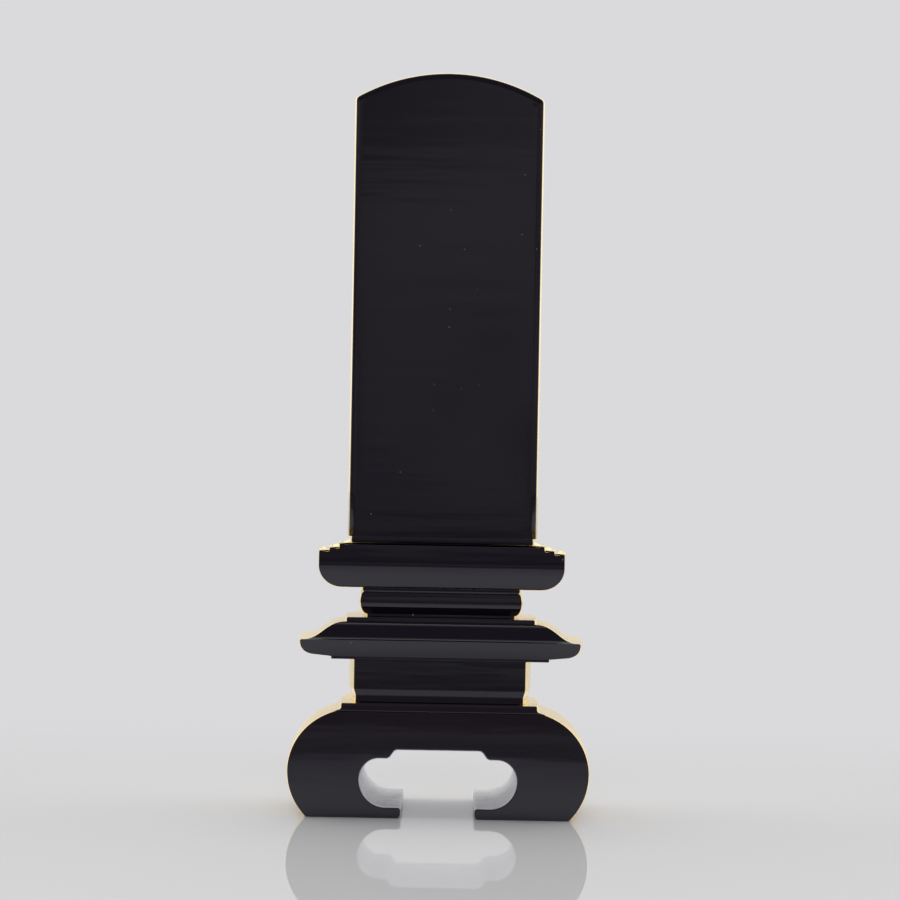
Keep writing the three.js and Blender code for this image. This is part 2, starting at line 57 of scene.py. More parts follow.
class Wiring:
    """Adds nodes to a shader tree. Each input is given as a value or as another node's output."""

    def __init__(self, tree):
        self.tree = tree

    def into(self, node, inputs):
        for socket, value in inputs.items():
            if isinstance(value, bpy.types.NodeSocket):
                self.tree.links.new(value, node.inputs[socket])
            else:
                node.inputs[socket].default_value = value

    def node(self, kind, inputs=None, **settings):
        made = self.tree.nodes.new(kind)
        for name, value in settings.items():
            setattr(made, name, value)
        self.into(made, inputs or {})
        return made

    def apply(self, effect, **inputs):
        """The results of an effect placed in this tree."""
        inputs = {name.replace("_", " "): value for name, value in inputs.items()}
        return self.node("ShaderNodeGroup", inputs, node_tree=effect.tree).outputs

    def maths(self, operation, first, second=0.5, clamp=False):
        inputs = {0: first, 1: second}
        return self.node("ShaderNodeMath", inputs, operation=operation, use_clamp=clamp).outputs[0]

    def span(self, value, start, end, low=0.0, high=1.0, curve="LINEAR"):
        """A number moved from one range to another and held there."""
        inputs = {"Value": value, "From Min": start, "From Max": end, "To Min": low, "To Max": high}
        return self.node("ShaderNodeMapRange", inputs, interpolation_type=curve).outputs["Result"]

    def step(self, value, start, end):
        """A soft step from 0 to 1."""
        return self.span(value, start, end, curve="SMOOTHSTEP")

    def mix(self, share, first, second):
        inputs = {"Factor": share, "A": first, "B": second}
        return self.node("ShaderNodeMix", inputs, data_type="RGBA").outputs["Result"]

    def noise(self, vector, scale, detail, roughness=0.5, **settings):
        inputs = {"Vector": vector, "Scale": scale, "Detail": detail, "Roughness": roughness}
        return self.node("ShaderNodeTexNoise", inputs, **settings).outputs["Fac"]

    def cells(self, vector, scale, randomness, feature="F1"):
        inputs = {"Vector": vector, "Scale": scale, "Randomness": randomness}
        return self.node("ShaderNodeTexVoronoi", inputs, feature=feature).outputs

    def stretched(self, vector, scale, turn=(0.0, 0.0, 0.0)):
        inputs = {"Vector": vector, "Scale": scale, "Rotation": turn}
        return self.node("ShaderNodeMapping", inputs).outputs["Vector"]

    def ramp(self, value, stops):
        """A colour along a run of places, each with its own colour."""
        made = self.node("ShaderNodeValToRGB", {"Fac": value})
        along = made.color_ramp.elements
        along.remove(along[1])
        along[0].position, along[0].color = stops[0][0], (*stops[0][1], 1)
        for place, colour in stops[1:]:
            along.new(place).color = (*colour, 1)
        return made.outputs["Color"]

    def bump(self, height, strength, distance):
        inputs = {"Height": height, "Strength": strength, "Distance": distance}
        return self.node("ShaderNodeBump", inputs).outputs["Normal"]


class Effect(Wiring):
    """A shader node group that works from a position and a few numbers."""

    def __init__(self, name, numbers, results):
        super().__init__(bpy.data.node_groups.new(name, "ShaderNodeTree"))
        sockets = self.tree.interface
        sockets.new_socket("Position", in_out="INPUT", socket_type="NodeSocketVector")
        for number, start in numbers.items():
            sockets.new_socket(number, in_out="INPUT", socket_type="NodeSocketFloat").default_value = start
        for result in results:
            sockets.new_socket(result, in_out="OUTPUT", socket_type="NodeSocketFloat")
        self.given = self.tree.nodes.new("NodeGroupInput").outputs
        self.position = self.given["Position"]
        self.leave = self.tree.nodes.new("NodeGroupOutput")


def shader(name):
    """A new material, its wiring, the position on the object, and its Principled shader."""
    material = bpy.data.materials.new(name)
    material.use_nodes = True
    wiring = Wiring(material.node_tree)
    where = wiring.node("ShaderNodeTexCoord").outputs["Object"]
    return material, wiring, where, material.node_tree.nodes["Principled BSDF"]


# Fine dust that lies on every finished surface, as specks of all sizes up to the given one
dust = Effect("fine dust", {"Specks per metre": 260.0, "Speck size": 0.06}, ["Specks"])
speck_cells = dust.cells(dust.position, dust.given["Specks per metre"], 1.0)
lot = dust.node("ShaderNodeSeparateColor", {"Color": speck_cells["Color"]}).outputs
few = dust.maths("GREATER_THAN", lot["Red"], 0.72)
own_size = dust.maths("MULTIPLY", dust.given["Speck size"], lot["Green"])
near = dust.maths("LESS_THAN", speck_cells["Distance"], own_size)
dust.into(dust.leave, {"Specks": dust.maths("MULTIPLY", few, near)})

# Edges where handling has rubbed a finish thin, broken up by a fine noise
rubbed = Effect("rubbed edges", {"Sharpness": 0.55, "Amount": 0.5}, ["Mask"])
sharpness = rubbed.node("ShaderNodeNewGeometry").outputs["Pointiness"]
edge = rubbed.span(sharpness, rubbed.given["Sharpness"], 0.75)
breaks = rubbed.span(rubbed.noise(rubbed.position, 420.0, 4.0, 0.65), 0.45, 0.68)
worn = rubbed.maths("MULTIPLY", edge, breaks)
rubbed.into(rubbed.leave, {"Mask": rubbed.maths("MULTIPLY", worn, rubbed.given["Amount"], clamp=True)})

# Black lacquer, rubbed down and polished by hand: a mirror with the faintest waviness, hairlines from
# wiping and a few specks of dust
black_lacquer, lacquer, where, surface = shader("black_lacquer")
depth_of_black = lacquer.mix(
    lacquer.noise(where, 38.0, 3.0), (0.0052, 0.0042, 0.0078, 1), (0.007, 0.0056, 0.0104, 1),
)
specks = lacquer.apply(dust, Position=where, Specks_per_metre=260.0, Speck_size=0.075)["Specks"]
dusted = lacquer.mix(specks, depth_of_black, (0.16, 0.155, 0.15, 1))
thin = lacquer.apply(rubbed, Position=where, Sharpness=0.6, Amount=0.9)["Mask"]
hairlines = lacquer.noise(lacquer.stretched(where, (60.0, 60.0, 2200.0), (0.0, 1.35, 0.2)), 1.0, 2.0, 0.6)
wiped = lacquer.maths("MULTIPLY", hairlines, lacquer.noise(where, 24.0, 4.0, 0.55))
gloss = lacquer.span(wiped, 0.1, 0.5, 0.035, 0.1)
waves = lacquer.noise(lacquer.stretched(where, (24.0, 24.0, 210.0)), 1.0, 2.0)
lacquer.into(surface, {
    "IOR": 1.54,
    "Base Color": lacquer.mix(thin, dusted, (0.09, 0.048, 0.018, 1)),
    "Roughness": lacquer.maths("MAXIMUM", gloss, specks),
    "Normal": lacquer.bump(waves, 0.07, 0.0004),
})

# Gold leaf laid over lacquer in small sheets: where two sheets lap the gold is fuller, elsewhere it is a
# little thinner and redder, with fine creases and pinholes that show the brown size under it
leaf = Effect(
    "laid leaf", {"Sheet size": 0.014, "Lap": 0.02}, ["Laps", "Sheet tone", "Creases", "Pinholes"],
)
drift = leaf.node("ShaderNodeTexNoise", {"Vector": leaf.position, "Scale": 55.0, "Detail": 3.0})
drift = leaf.node("ShaderNodeVectorMath", {0: drift.outputs["Color"], "Scale": 0.0009}, operation="SCALE")
uneven = leaf.node("ShaderNodeVectorMath", {0: leaf.position, 1: drift.outputs["Vector"]}, operation="ADD")
uneven = uneven.outputs["Vector"]
per_sheet = leaf.maths("DIVIDE", 1.0, leaf.given["Sheet size"])
seams = leaf.cells(uneven, per_sheet, 0.06, feature="DISTANCE_TO_EDGE")
sheets = leaf.cells(uneven, per_sheet, 0.06)
leaf.into(leaf.leave, {
    "Laps": leaf.maths("LESS_THAN", seams["Distance"], leaf.given["Lap"]),
    "Sheet tone": leaf.node("ShaderNodeSeparateColor", {"Color": sheets["Color"]}).outputs["Red"],
    "Creases": leaf.noise(uneven, 260.0, 5.0, 0.6, noise_type="RIDGED_MULTIFRACTAL"),
    "Pinholes": leaf.span(leaf.noise(leaf.position, 1500.0, 2.0), 0.7, 0.76),
})

gold_leaf, gilding, where, surface = shader("gold_leaf")
laid = gilding.apply(leaf, Position=where, Sheet_size=0.019, Lap=0.02)
sheet_colour = gilding.mix(laid["Sheet tone"], (0.93, 0.71, 0.32, 1), (0.97, 0.77, 0.38, 1))
full_gold = gilding.mix(gilding.maths("MULTIPLY", laid["Laps"], 0.4), sheet_colour, (1.0, 0.82, 0.44, 1))
thin = gilding.apply(rubbed, Position=where, Sharpness=0.57, Amount=0.75)["Mask"]
bare = gilding.maths("MULTIPLY", gilding.maths("MAXIMUM", thin, laid["Pinholes"]), 0.6)
relief = gilding.maths("ADD", laid["Creases"], gilding.maths("MULTIPLY", laid["Laps"], 0.35))
gilding.into(surface, {
    "Base Color": gilding.mix(bare, full_gold, (0.3, 0.1, 0.035, 1)),
    "Metallic": gilding.span(bare, 0.0, 1.0, 1.0, 0.25),
    "Roughness": gilding.span(gilding.noise(where, 90.0, 4.0), 0.3, 0.7, 0.17, 0.29),
    "Normal": gilding.bump(relief, 0.22, 0.0001),
})

# Satin silver-grey paint with fine metal specks, brushed on in the opening. It is soiled in patches, worn
# to its cream ground at the edges and chipped here and there.
silver_grey, painting, where, surface = shader("silver_grey")
cloudy = painting.noise(where, 320.0, 5.0, 0.7)
paint = painting.ramp(cloudy, ((0.32, (0.6, 0.6, 0.615)), (0.72, (0.78, 0.78, 0.79))))
grime = painting.span(painting.noise(where, 150.0, 6.0, 0.72), 0.5, 0.66, 0.0, 0.45)
thin = painting.apply(rubbed, Position=where, Sharpness=0.505, Amount=1.0)["Mask"]
soiled = painting.mix(grime, painting.mix(thin, paint, (0.86, 0.79, 0.62, 1)), (0.3, 0.3, 0.3, 1))
flakes = painting.apply(dust, Position=where, Specks_per_metre=2600.0, Speck_size=0.42)["Specks"]
chips = painting.apply(dust, Position=where, Specks_per_metre=1300.0, Speck_size=0.28)["Specks"]
flaked = painting.mix(flakes, soiled, (0.8, 0.8, 0.8, 1))
painting.into(surface, {
    "IOR": 1.5,
    "Base Color": painting.mix(chips, flaked, (0.1, 0.095, 0.09, 1)),
    "Metallic": painting.span(flakes, 0.0, 1.0, 0.25, 0.9),
    "Roughness": painting.span(cloudy, 0.0, 1.0, 0.38, 0.55),
    "Normal": painting.bump(cloudy, 0.35, 0.00012),
})

BLACK, GOLD, SILVER, WOOD = range(4)


def bend(start, pull, end, steps):
    """Points of a curve from start to end that leaves and arrives towards pull, without its first point."""
    start, pull, end = (np.array(p, float) for p in (start, pull, end))
    return [
        tuple((1 - t) ** 2 * start + 2 * t * (1 - t) * pull + t * t * end)
        for t in np.linspace(0, 1, steps + 1)[1:]
    ]


def swing(start, leave, arrive, end, steps):
    """Points of an S-shaped curve that leaves and arrives towards two pulls, without its first point."""
    a, b, c, d = (np.array(p, float) for p in (start, leave, arrive, end))
    return [
        tuple((1 - t) ** 3 * a + 3 * t * (1 - t) ** 2 * b + 3 * t * t * (1 - t) * c + t**3 * d)
        for t in np.linspace(0, 1, steps + 1)[1:]
    ]


def arc(middle, reach, start, end, steps):
    """Points of an oval's arc between two angles in degrees, without its first point."""
    return [
        (middle[0] + reach[0] * math.cos(turn), middle[1] + reach[1] * math.sin(turn))
        for turn in np.radians(np.linspace(start, end, steps + 1)[1:])
    ]


def placed(name, data):
    """A new object in the scene."""
    made = bpy.data.objects.new(name, data)
    bpy.context.scene.collection.objects.link(made)
    return made


def piece(name, skin, node_names, materials, body="pedestal"):
    """A closed mesh on its body that stands for its nodes, from a skin's points, faces and finishes."""
    mesh = bpy.data.meshes.new(name)
    work = bmesh.new()
    points, faces, finish = skin
    corners = [work.verts.new(p) for p in points]
    for face, number in zip(faces, finish):
        if len(set(face)) > 2:
            work.faces.new([corners[k] for k in face]).material_index = int(number)
    bmesh.ops.remove_doubles(work, verts=work.verts, dist=0.002 * MM)
    bmesh.ops.recalc_face_normals(work, faces=work.faces)
    for face in work.faces:
        face.smooth = True
    work.to_mesh(mesh)
    work.free()
    for material in materials:
        mesh.materials.append(material)
    made = placed(name, mesh)
    made.modifiers.new("even_shading", "WEIGHTED_NORMAL")
    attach(made, body)
    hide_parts(*node_names)


def band(rings, finish_at, closed=False, first_cap=None, last_cap=None):
    """Points, faces and finishes of a skin over rings, with flat caps on its two ends unless it closes."""
    count = len(rings[0])
    points = [tuple(p) for ring in rings for p in ring]
    faces, finish = [], []
    for a in range(len(rings) if closed else len(rings) - 1):
        b = (a + 1) % len(rings)
        for k in range(count):
            n = (k + 1) % count
            faces.append((a * count + k, a * count + n, b * count + n, b * count + k))
            finish.append(finish_at(a, k))
    for cap, start in ((first_cap, 0), (last_cap, len(points) - count)):
        if cap is not None:
            faces.append(tuple(range(start, start + count)))
            finish.append(cap)
    return points, faces, finish


base_low, base_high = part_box("base_body")
base_height = base_high.z
base_back = base_high.y
base_front_swell = 0.51 * MM
base_front = -base_low.y + base_front_swell
base_side_draw = 0.45 * MM
base_widest_height = 11.8 * MM
base_side_run = 17.1 * MM
base_front_run = 10.5 * MM
base_sole_draw = 4.9 * MM
base_top_draw = 12.2 * MM
base_sole_lift, base_top_lift = (
    math.sqrt(1 - (1 - draw / base_side_run) ** 2) for draw in (base_sole_draw, base_top_draw)
)
sole_round = 0.35 * MM


def sole_ease(z):
    """How far the rounded edge of the sole draws the foot block in at a height."""
    left = max(sole_round - z, 0.0)
    return sole_round - math.sqrt(sole_round**2 - left**2)


def base_drawn(z):
    """Share of its run by which the foot block's side is drawn in at a height."""
    if z < base_widest_height:
        sine = base_sole_lift * (1 - z / base_widest_height)
    else:
        sine = base_top_lift * (z - base_widest_height) / (base_height - base_widest_height)
    return 1 - math.sqrt(1 - sine * sine)


def base_half_width(z):
    return base_high.x - base_side_run * base_drawn(z) - sole_ease(z)


def base_face(x, z):
    """Depth at which the gilt front of the foot block lies, at a place seen from the front."""
    front = base_front - base_front_run * base_drawn(z) - sole_ease(z)
    widest = base_back - (base_back + front) * (1 - WIDEST_SHARE)
    share = min(abs(x) / base_half_width(z), 1.0)
    return widest - (widest + front) * (1 - share**CORNER_POWER) ** (1 / CORNER_POWER)


# Right half of the opening, from under the toe up to the middle of the arch, in millimetres
toe_half_width = 9.35
toe_top = 2.9
toe_radius = 0.9
toe_flare = 1.3
flare_height = 1.4
scroll_height = 9.9
scroll_half_width = 20.2
lower_run = 6.8
upper_run = 5.0
shelf_height = 15.3
shelf_end = scroll_half_width - upper_run - 1.8
arch_end = shelf_end - 3.0
arch_height = shelf_height + 2.25
arch_pull = 1.5
opening = [(toe_half_width + toe_flare, 0.0)]
opening += bend(opening[0], (toe_half_width, 0.0), (toe_half_width, flare_height), 9)
toe_curl_end = len(opening)
opening += [(toe_half_width, 1.7), (toe_half_width, toe_top - toe_radius)]
opening += arc((toe_half_width + toe_radius, toe_top - toe_radius), (toe_radius, toe_radius), 180, 90, 8)
lower_centre = scroll_half_width - lower_run
opening += [(lower_centre - 1.2, toe_top), (lower_centre, toe_top)]
key_toe = len(opening) - 1
opening += arc((lower_centre, scroll_height), (lower_run, scroll_height - toe_top), -90, 0, 24)
key_scroll = len(opening) - 1
upper_centre = scroll_half_width - upper_run
opening += arc((upper_centre, scroll_height), (upper_run, shelf_height - scroll_height), 0, 90, 16)
key_shelf = len(opening) - 1
opening += [(upper_centre - 1.4, shelf_height), (shelf_end, shelf_height)]
key_step = len(opening) - 1
opening += swing(
    (shelf_end, shelf_height), (shelf_end - arch_pull, shelf_height),
    (arch_end + arch_pull, arch_height), (arch_end, arch_height), 14,
)
key_arch = len(opening) - 1
opening += [(arch_end * (1 - k / 9), arch_height) for k in range(1, 10)]
opening = np.array(opening) * MM

# Right half of the foot block's own outline, from the sole's edge up and in to the middle of its top
outline = [(base_half_width(z), z) for z in base_height * np.linspace(0, 1, 400)]
top_corner = len(outline) - 1
outline += [(outline[-1][0] * (1 - k / 40), base_height) for k in range(1, 41)]
outline = np.array(outline)


def lengths_along(points):
    """Length along a run of points up to each of them."""
    return np.concatenate([[0], np.cumsum(np.linalg.norm(np.diff(points, axis=0), axis=1))])


def outward_normals(points, closing):
    """Directions square to a run of points, to its right, with the run's last direction given."""
    along = np.gradient(points, axis=0)
    along[-1] = closing
    along /= np.linalg.norm(along, axis=1)[:, None]
    return np.column_stack([along[:, 1], -along[:, 0]])


def sampled(spots, marks, rows):
    """Rows of values at spots between the marks at which they are given."""
    return np.column_stack([np.interp(spots, marks, column) for column in rows.T])


run = lengths_along(outline)


def run_at_height(z):
    return np.interp(z, outline[: top_corner + 1, 1], run[: top_corner + 1])


# Each station of the opening looks out to its own station of the outline: the toe's end, the scroll and
# the shelf to heights on its side, the arch's end to a place on its top
toe_faces = 1.2 * MM
scroll_faces = 9.6 * MM
shelf_faces = 22.5 * MM
arch_faces = 20.0 * MM
opening_run = lengths_along(opening)
faced_runs = np.interp(
    opening_run,
    opening_run[[0, key_toe, key_scroll, key_shelf, key_step, key_arch, len(opening) - 1]],
    [0, run_at_height(toe_faces), run_at_height(scroll_faces), run_at_height(shelf_faces), run[top_corner],
     np.interp(-arch_faces, -outline[top_corner:, 0], run[top_corner:]), run[-1]],
)

SIDE_STEPS = 12
FRONT_STEPS = 36
# How far each step of a rounded edge lies in from its two faces, and over how many the bright finish laps
EDGE_ARC = [(1 - math.cos(turn), 1 - math.sin(turn)) for turn in np.linspace(0, math.pi / 2, 6)]
LAPPED_STEPS = 3
station_spacing = 0.6 * MM
sole_level = 1.5 * MM
top_margin = 0.1 * MM

inward = outward_normals(opening, (-1.0, 0.0))
inward[:toe_curl_end] = (1.0, 0.0)
places = [len(opening) - 1]
for k in range(len(opening) - 2, -1, -1):
    steps = max(1, math.ceil((faced_runs[k + 1] - faced_runs[k]) / station_spacing))
    places += [k + s / steps for s in range(steps - 1, -1, -1)]
places = np.array(places[::-1], float)
numbers = np.arange(len(opening))
faced_runs = np.interp(places, numbers, faced_runs)
opening, inward = sampled(places, numbers, opening), sampled(places, numbers, inward)
faced = sampled(faced_runs, run, outline)
outward = outward_normals(faced, (-1.0, 0.0))
outward[:, 1] *= np.clip(faced[:, 1] / sole_level, 0, 1)
outward /= np.linalg.norm(outward, axis=1)[:, None]


def base_station(k):
    """One loop round the foot block's section: wall, back, side and front, with its finishes."""
    inner, outer = Vector(opening[k]), Vector(faced[k])
    into, out = Vector(inward[k]), Vector(outward[k])
    widest = base_back - (base_back + base_front - base_front_run * base_drawn(outer.y)) * (1 - WIDEST_SHARE)
    loop, finish = [], []

    def put(x, y, z, number):
        loop.append((x, y - (sole_ease(z) if y > base_back - sole_level else 0.0), z))
        finish.append(number)

    wall_front = base_face(inner.x, inner.y) + ARRIS
    for t in (0.0, 0.3, 0.7):
        put(inner.x, wall_front + (base_back - ARRIS - wall_front) * t, inner.y, SILVER)
    for step, (across, forward) in enumerate(EDGE_ARC):
        spot = inner + into * ARRIS * across
        put(spot.x, base_back - ARRIS * forward, spot.y, SILVER if step < LAPPED_STEPS else BLACK)
    drawn = outer.x / max(base_half_width(outer.y), 1e-9) * base_side_draw

    def side(y):
        t = max((y - widest) / (base_back - widest), 0.0)
        return Vector((outer.x - drawn * t * t, outer.y))

    gilt_step = len(EDGE_ARC) - 1 - (LAPPED_STEPS if outer.y < base_height - top_margin else 0)
    start = inner + into * ARRIS
    for t in (0.33, 0.67):
        spot = start + (side(base_back) - out * ARRIS - start) * t
        put(spot.x, base_back, spot.y, BLACK)
    for step, (forward, across) in enumerate(EDGE_ARC):
        y = base_back - ARRIS * forward
        spot = side(y) - out * ARRIS * across
        put(spot.x, y, spot.y, BLACK if step < gilt_step else GOLD)
    for y in np.linspace(base_back - ARRIS, widest, SIDE_STEPS + 1)[1:-1]:
        put(side(y).x, y, outer.y, GOLD)
    for step in range(FRONT_STEPS + 1):
        spot = outer + (start - outer) * (step / FRONT_STEPS) ** 3
        put(spot.x, base_face(spot.x, spot.y), spot.y, GOLD)
    for backward, across in EDGE_ARC[1:]:
        spot = inner + into * ARRIS * across
        put(spot.x, base_face(spot.x, spot.y) + ARRIS * backward, spot.y, GOLD)
    return loop, finish


right_half, finishes = zip(*(base_station(k) for k in range(len(opening))))
left_half = tuple([(-x, y, z) for x, y, z in loop] for loop in right_half[-2::-1])
finishes += finishes[-2::-1]
skin = band(right_half + left_half, lambda level, k: finishes[level][k], first_cap=BLACK, last_cap=BLACK)
piece("foot_block", skin, ["base_body"], [black_lacquer, gold_leaf, silver_grey])


# Lip plate on the foot block
# A thin plate glued down on the foot block, flush with its back. It is lacquered and gilt together with
# the block, and only the step at its edge shows that it is a piece of its own.
BACK_SHARE = 0.35
FRONT_SHARE = 0.6
CORNER_ROUND = 0.4 * MM
BACK_STEPS = 10


def side_and_front(half_width, back, front, side_draw, side_shares, front_steps):
    """The right side of a plan and its front up to the middle: a slight curve, then a squared-off oval."""
    widest = back - (back + front) * (1 - WIDEST_SHARE)
    side = [(half_width - side_draw * t * t, widest + (back - widest) * t) for t in side_shares]
    return side + [
        (half_width * max(math.cos(turn), 0.0) ** (2 / CORNER_POWER),
         widest - (widest + front) * math.sin(turn) ** (2 / CORNER_POWER))
        for turn in np.linspace(0, math.pi / 2, front_steps + 1)[1:]
    ]


def plan(half_width, back, front, side_draw):
    """A moulded block's outline seen from above, from the middle of its right back corner round the front."""
    widest = back - (back + front) * (1 - WIDEST_SHARE)
    corner_x = half_width - side_draw
    along_side = np.array([2 * side_draw, -(back - widest)])
    along_side /= np.linalg.norm(along_side)
    side_start = np.array([corner_x, back]) + along_side * CORNER_ROUND
    right = [(corner_x - CORNER_ROUND, back)]
    right += bend(right[0], (corner_x, back), side_start, 6)
    shares = np.linspace((side_start[1] - widest) / (back - widest), 0, 14)[1:]
    right += side_and_front(half_width, back, front, side_draw, shares, 43)
    left = [(-x, y) for x, y in reversed(right[:-1])]
    back_run = [((corner_x - CORNER_ROUND) * s, back) for s in np.linspace(-1, 1, BACK_STEPS + 2)[1:-1]]
    return right + left + back_run


GILT_FROM = 2
PLAN_SIDES = len(plan(1.0, 0.5, 0.5, 0.1)) - BACK_STEPS


def moulded_finish(level, k):
    """Gold round the sides, the front and most of the back corners, black on the back."""
    return GOLD if GILT_FROM <= k < PLAN_SIDES - 1 - GILT_FROM else BLACK


def eased(path, ease, steps=4):
    """A profile with its corners rounded by the given ease, in millimetres."""
    out = [path[0]]
    for before, corner, after in zip(path, path[1:], path[2:]):
        lengths = [math.dist(corner, before), math.dist(corner, after)]
        cut = min(ease, 0.45 * min(lengths))
        start, end = (
            tuple(c + (o - c) * cut / length for c, o in zip(corner, other))
            for other, length in zip((before, after), lengths)
        )
        out.append(start)
        out += bend(start, corner, end, steps)
    out.append(path[-1])
    return out


def flatter_back(inset, rise):
    """How far a profile's point lies in from the flat back: a fixed share of its inset at the sides."""
    return BACK_SHARE * inset


def moulded_rings(node_name, side_draw, profile, behind=flatter_back):
    """Rings of a moulded block in its node's box, from a profile of insets and heights in millimetres."""
    low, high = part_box(node_name)
    rings = []
    for inset, rise in profile:
        outline_here = plan(
            high.x - inset * MM, high.y - behind(inset, rise) * MM,
            -low.y - FRONT_SHARE * inset * MM, side_draw * MM,
        )
        rings.append([(x, y, low.z + rise * MM) for x, y in outline_here])
    return rings


def moulded_piece(name, node_name, side_draw, profile, behind=flatter_back):
    """A moulded block with flat ends, black behind and gilt round its sides and front."""
    rings = moulded_rings(node_name, side_draw, profile, behind)
    skin = band(rings, moulded_finish, first_cap=BLACK, last_cap=BLACK)
    piece(name, skin, [node_name], [black_lacquer, gold_leaf])


lip_low, lip_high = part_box("base_cap")
lip_height = (lip_high.z - lip_low.z) / MM
cove_run = 1.25
cove_height = 1.3
profile = [(cove_run + 1.0, 0.0), (0.0, 0.0), (0.0, 0.2)]
profile += bend(profile[-1], (cove_run, 0.2), (cove_run, cove_height), 8)
profile += eased([profile[-1], (cove_run, lip_height), (cove_run + 5.0, lip_height)], 0.5)[1:]


def lip_back(inset, rise):
    """The lip's cove runs round the sides and the front only."""
    return BACK_SHARE * max(inset - cove_run, 0.0)


moulded_piece("lip_plate", "base_cap", 0.45, profile, lip_back)


# Waist
# The plain drum of the stand, set in from the lip plate on a small chamfered foot. It is black lacquer
# behind and gold leaf at the sides and in front, where the gold bulges past the black edge.
waist_low, waist_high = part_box("waist_block")
waist_height = (waist_high.z - waist_low.z) / MM
waist_foot = 1.8
waist_chamfer = 1.6
moulded_piece("waist_drum", "waist_block", 1.5, eased(
    [(3.5, 0.0), (0.5, 0.0), (0.5, waist_foot), (0.0, waist_foot + waist_chamfer), (0.0, waist_height),
     (1.0, waist_height)], 0.25,
))


# Shoulder plate
# The widest moulding of the stand: a foot, a thin rim that turns up, an ogee slope and a top lip, cut round
# the sides and the front and flatter behind. It is lacquered black behind, gilt elsewhere, and glued down
# on the waist.
shoulder_low, shoulder_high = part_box("shoulder_plate")
shoulder_height = (shoulder_high.z - shoulder_low.z) / MM
shoulder_proud = 13.2
shoulder_foot_inset = shoulder_proud - 5.2
shoulder_foot_height = 0.7
rim_height = 4.6
rim_radius = 0.6
slope_foot = rim_height + 0.45
lip_inset = shoulder_proud - 1.4
slope_top = shoulder_height - 1.1
slope_run = lip_inset - rim_radius
profile = [(shoulder_foot_inset + 7.0, 0.0), (shoulder_foot_inset, 0.0)]
profile = eased(profile + [(shoulder_foot_inset, shoulder_foot_height), (3.0, 1.2)], 0.2)
profile += bend(profile[-1], (0.0, 1.8), (0.0, rim_height), 14)
profile += bend(profile[-1], (0.0, slope_foot), (rim_radius, slope_foot), 8)
profile += swing(
    profile[-1], (rim_radius + slope_run * 0.43, slope_foot), (rim_radius + slope_run * 0.5, slope_top),
    (lip_inset, slope_top), 28,
)
profile += eased(
    [(lip_inset, slope_top), (lip_inset, shoulder_height), (lip_inset + 6.5, shoulder_height)], 0.8,
)[1:]
rim_back = 2.3


def shoulder_back(inset, rise):
    """Behind, the rim's underside is one round from its edge down to the foot."""
    if rise > slope_foot:
        return BACK_SHARE * (inset - rim_radius)
    down = min((slope_foot - rise) / (slope_foot - shoulder_foot_height), 1.0)
    return rim_back * (0.6 * down + 0.4 * down**2) + BACK_SHARE * max(inset - shoulder_foot_inset, 0.0)


moulded_piece("shoulder_moulding", "shoulder_plate", 0.7, profile, shoulder_back)


# Neck
# A rounded roll of wood with a small bead on top, glued between the shoulder and the lotus. It is black
# lacquer behind and gold leaf at the sides and in front.
neck_low, neck_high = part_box("neck_roll")
neck_height = (neck_high.z - neck_low.z) / MM
bead_foot = neck_height - 0.8
neck_foot = (1.8, 0.7)
roll_height = 3.95
roll_top = (0.9, bead_foot - 0.25)
profile = eased([(3.8, 0.0), (neck_foot[0], 0.0), neck_foot], 0.2)
profile += arc((neck_foot[0], roll_height), (neck_foot[0], roll_height - neck_foot[1]), 270, 180, 14)
profile += arc((roll_top[0], roll_height), (roll_top[0], roll_top[1] - roll_height), 180, 90, 14)
profile += eased([roll_top, (0.55, bead_foot), (0.55, neck_height), (2.6, neck_height)], 0.25)[1:]
roll_belly = 3.7


def neck_back(inset, rise):
    """Behind, the roll is fullest a little higher up and falls away to its foot in a long round."""
    down = min(max(roll_belly - rise, 0.0) / (roll_belly - neck_foot[1]), 1.0)
    return 0.55 * down + 0.5 * down**2 + BACK_SHARE * max(inset - neck_foot[0] * (rise < roll_height), 0.0)


moulded_piece("neck_roll_moulding", "neck_roll", 0.4, profile, neck_back)


# Lotus
# Three rows of carved petals, each row cut from its own block and seated in the row outside it. They run
# round the sides and the front, where they are gilt. The backs are planed off in one plane, filled over the
# joints and lacquered black together, so that only the stepped ends of the rows show there.
STEPS_PER_PETAL = 36
END_MARGIN = 0.004
petal_swell = 0.9 * MM
petal_edge = 0.2 * MM
petal_rib = 0.16 * MM
petal_curl = 0.3 * MM
lotus_draw = 0.4 * MM
back_skin = 0.4 * MM


def hump(distance, place, width):
    """A smooth hump of height 1 at a place along a distance."""
    return np.exp(-(((distance - place) / width) ** 2))


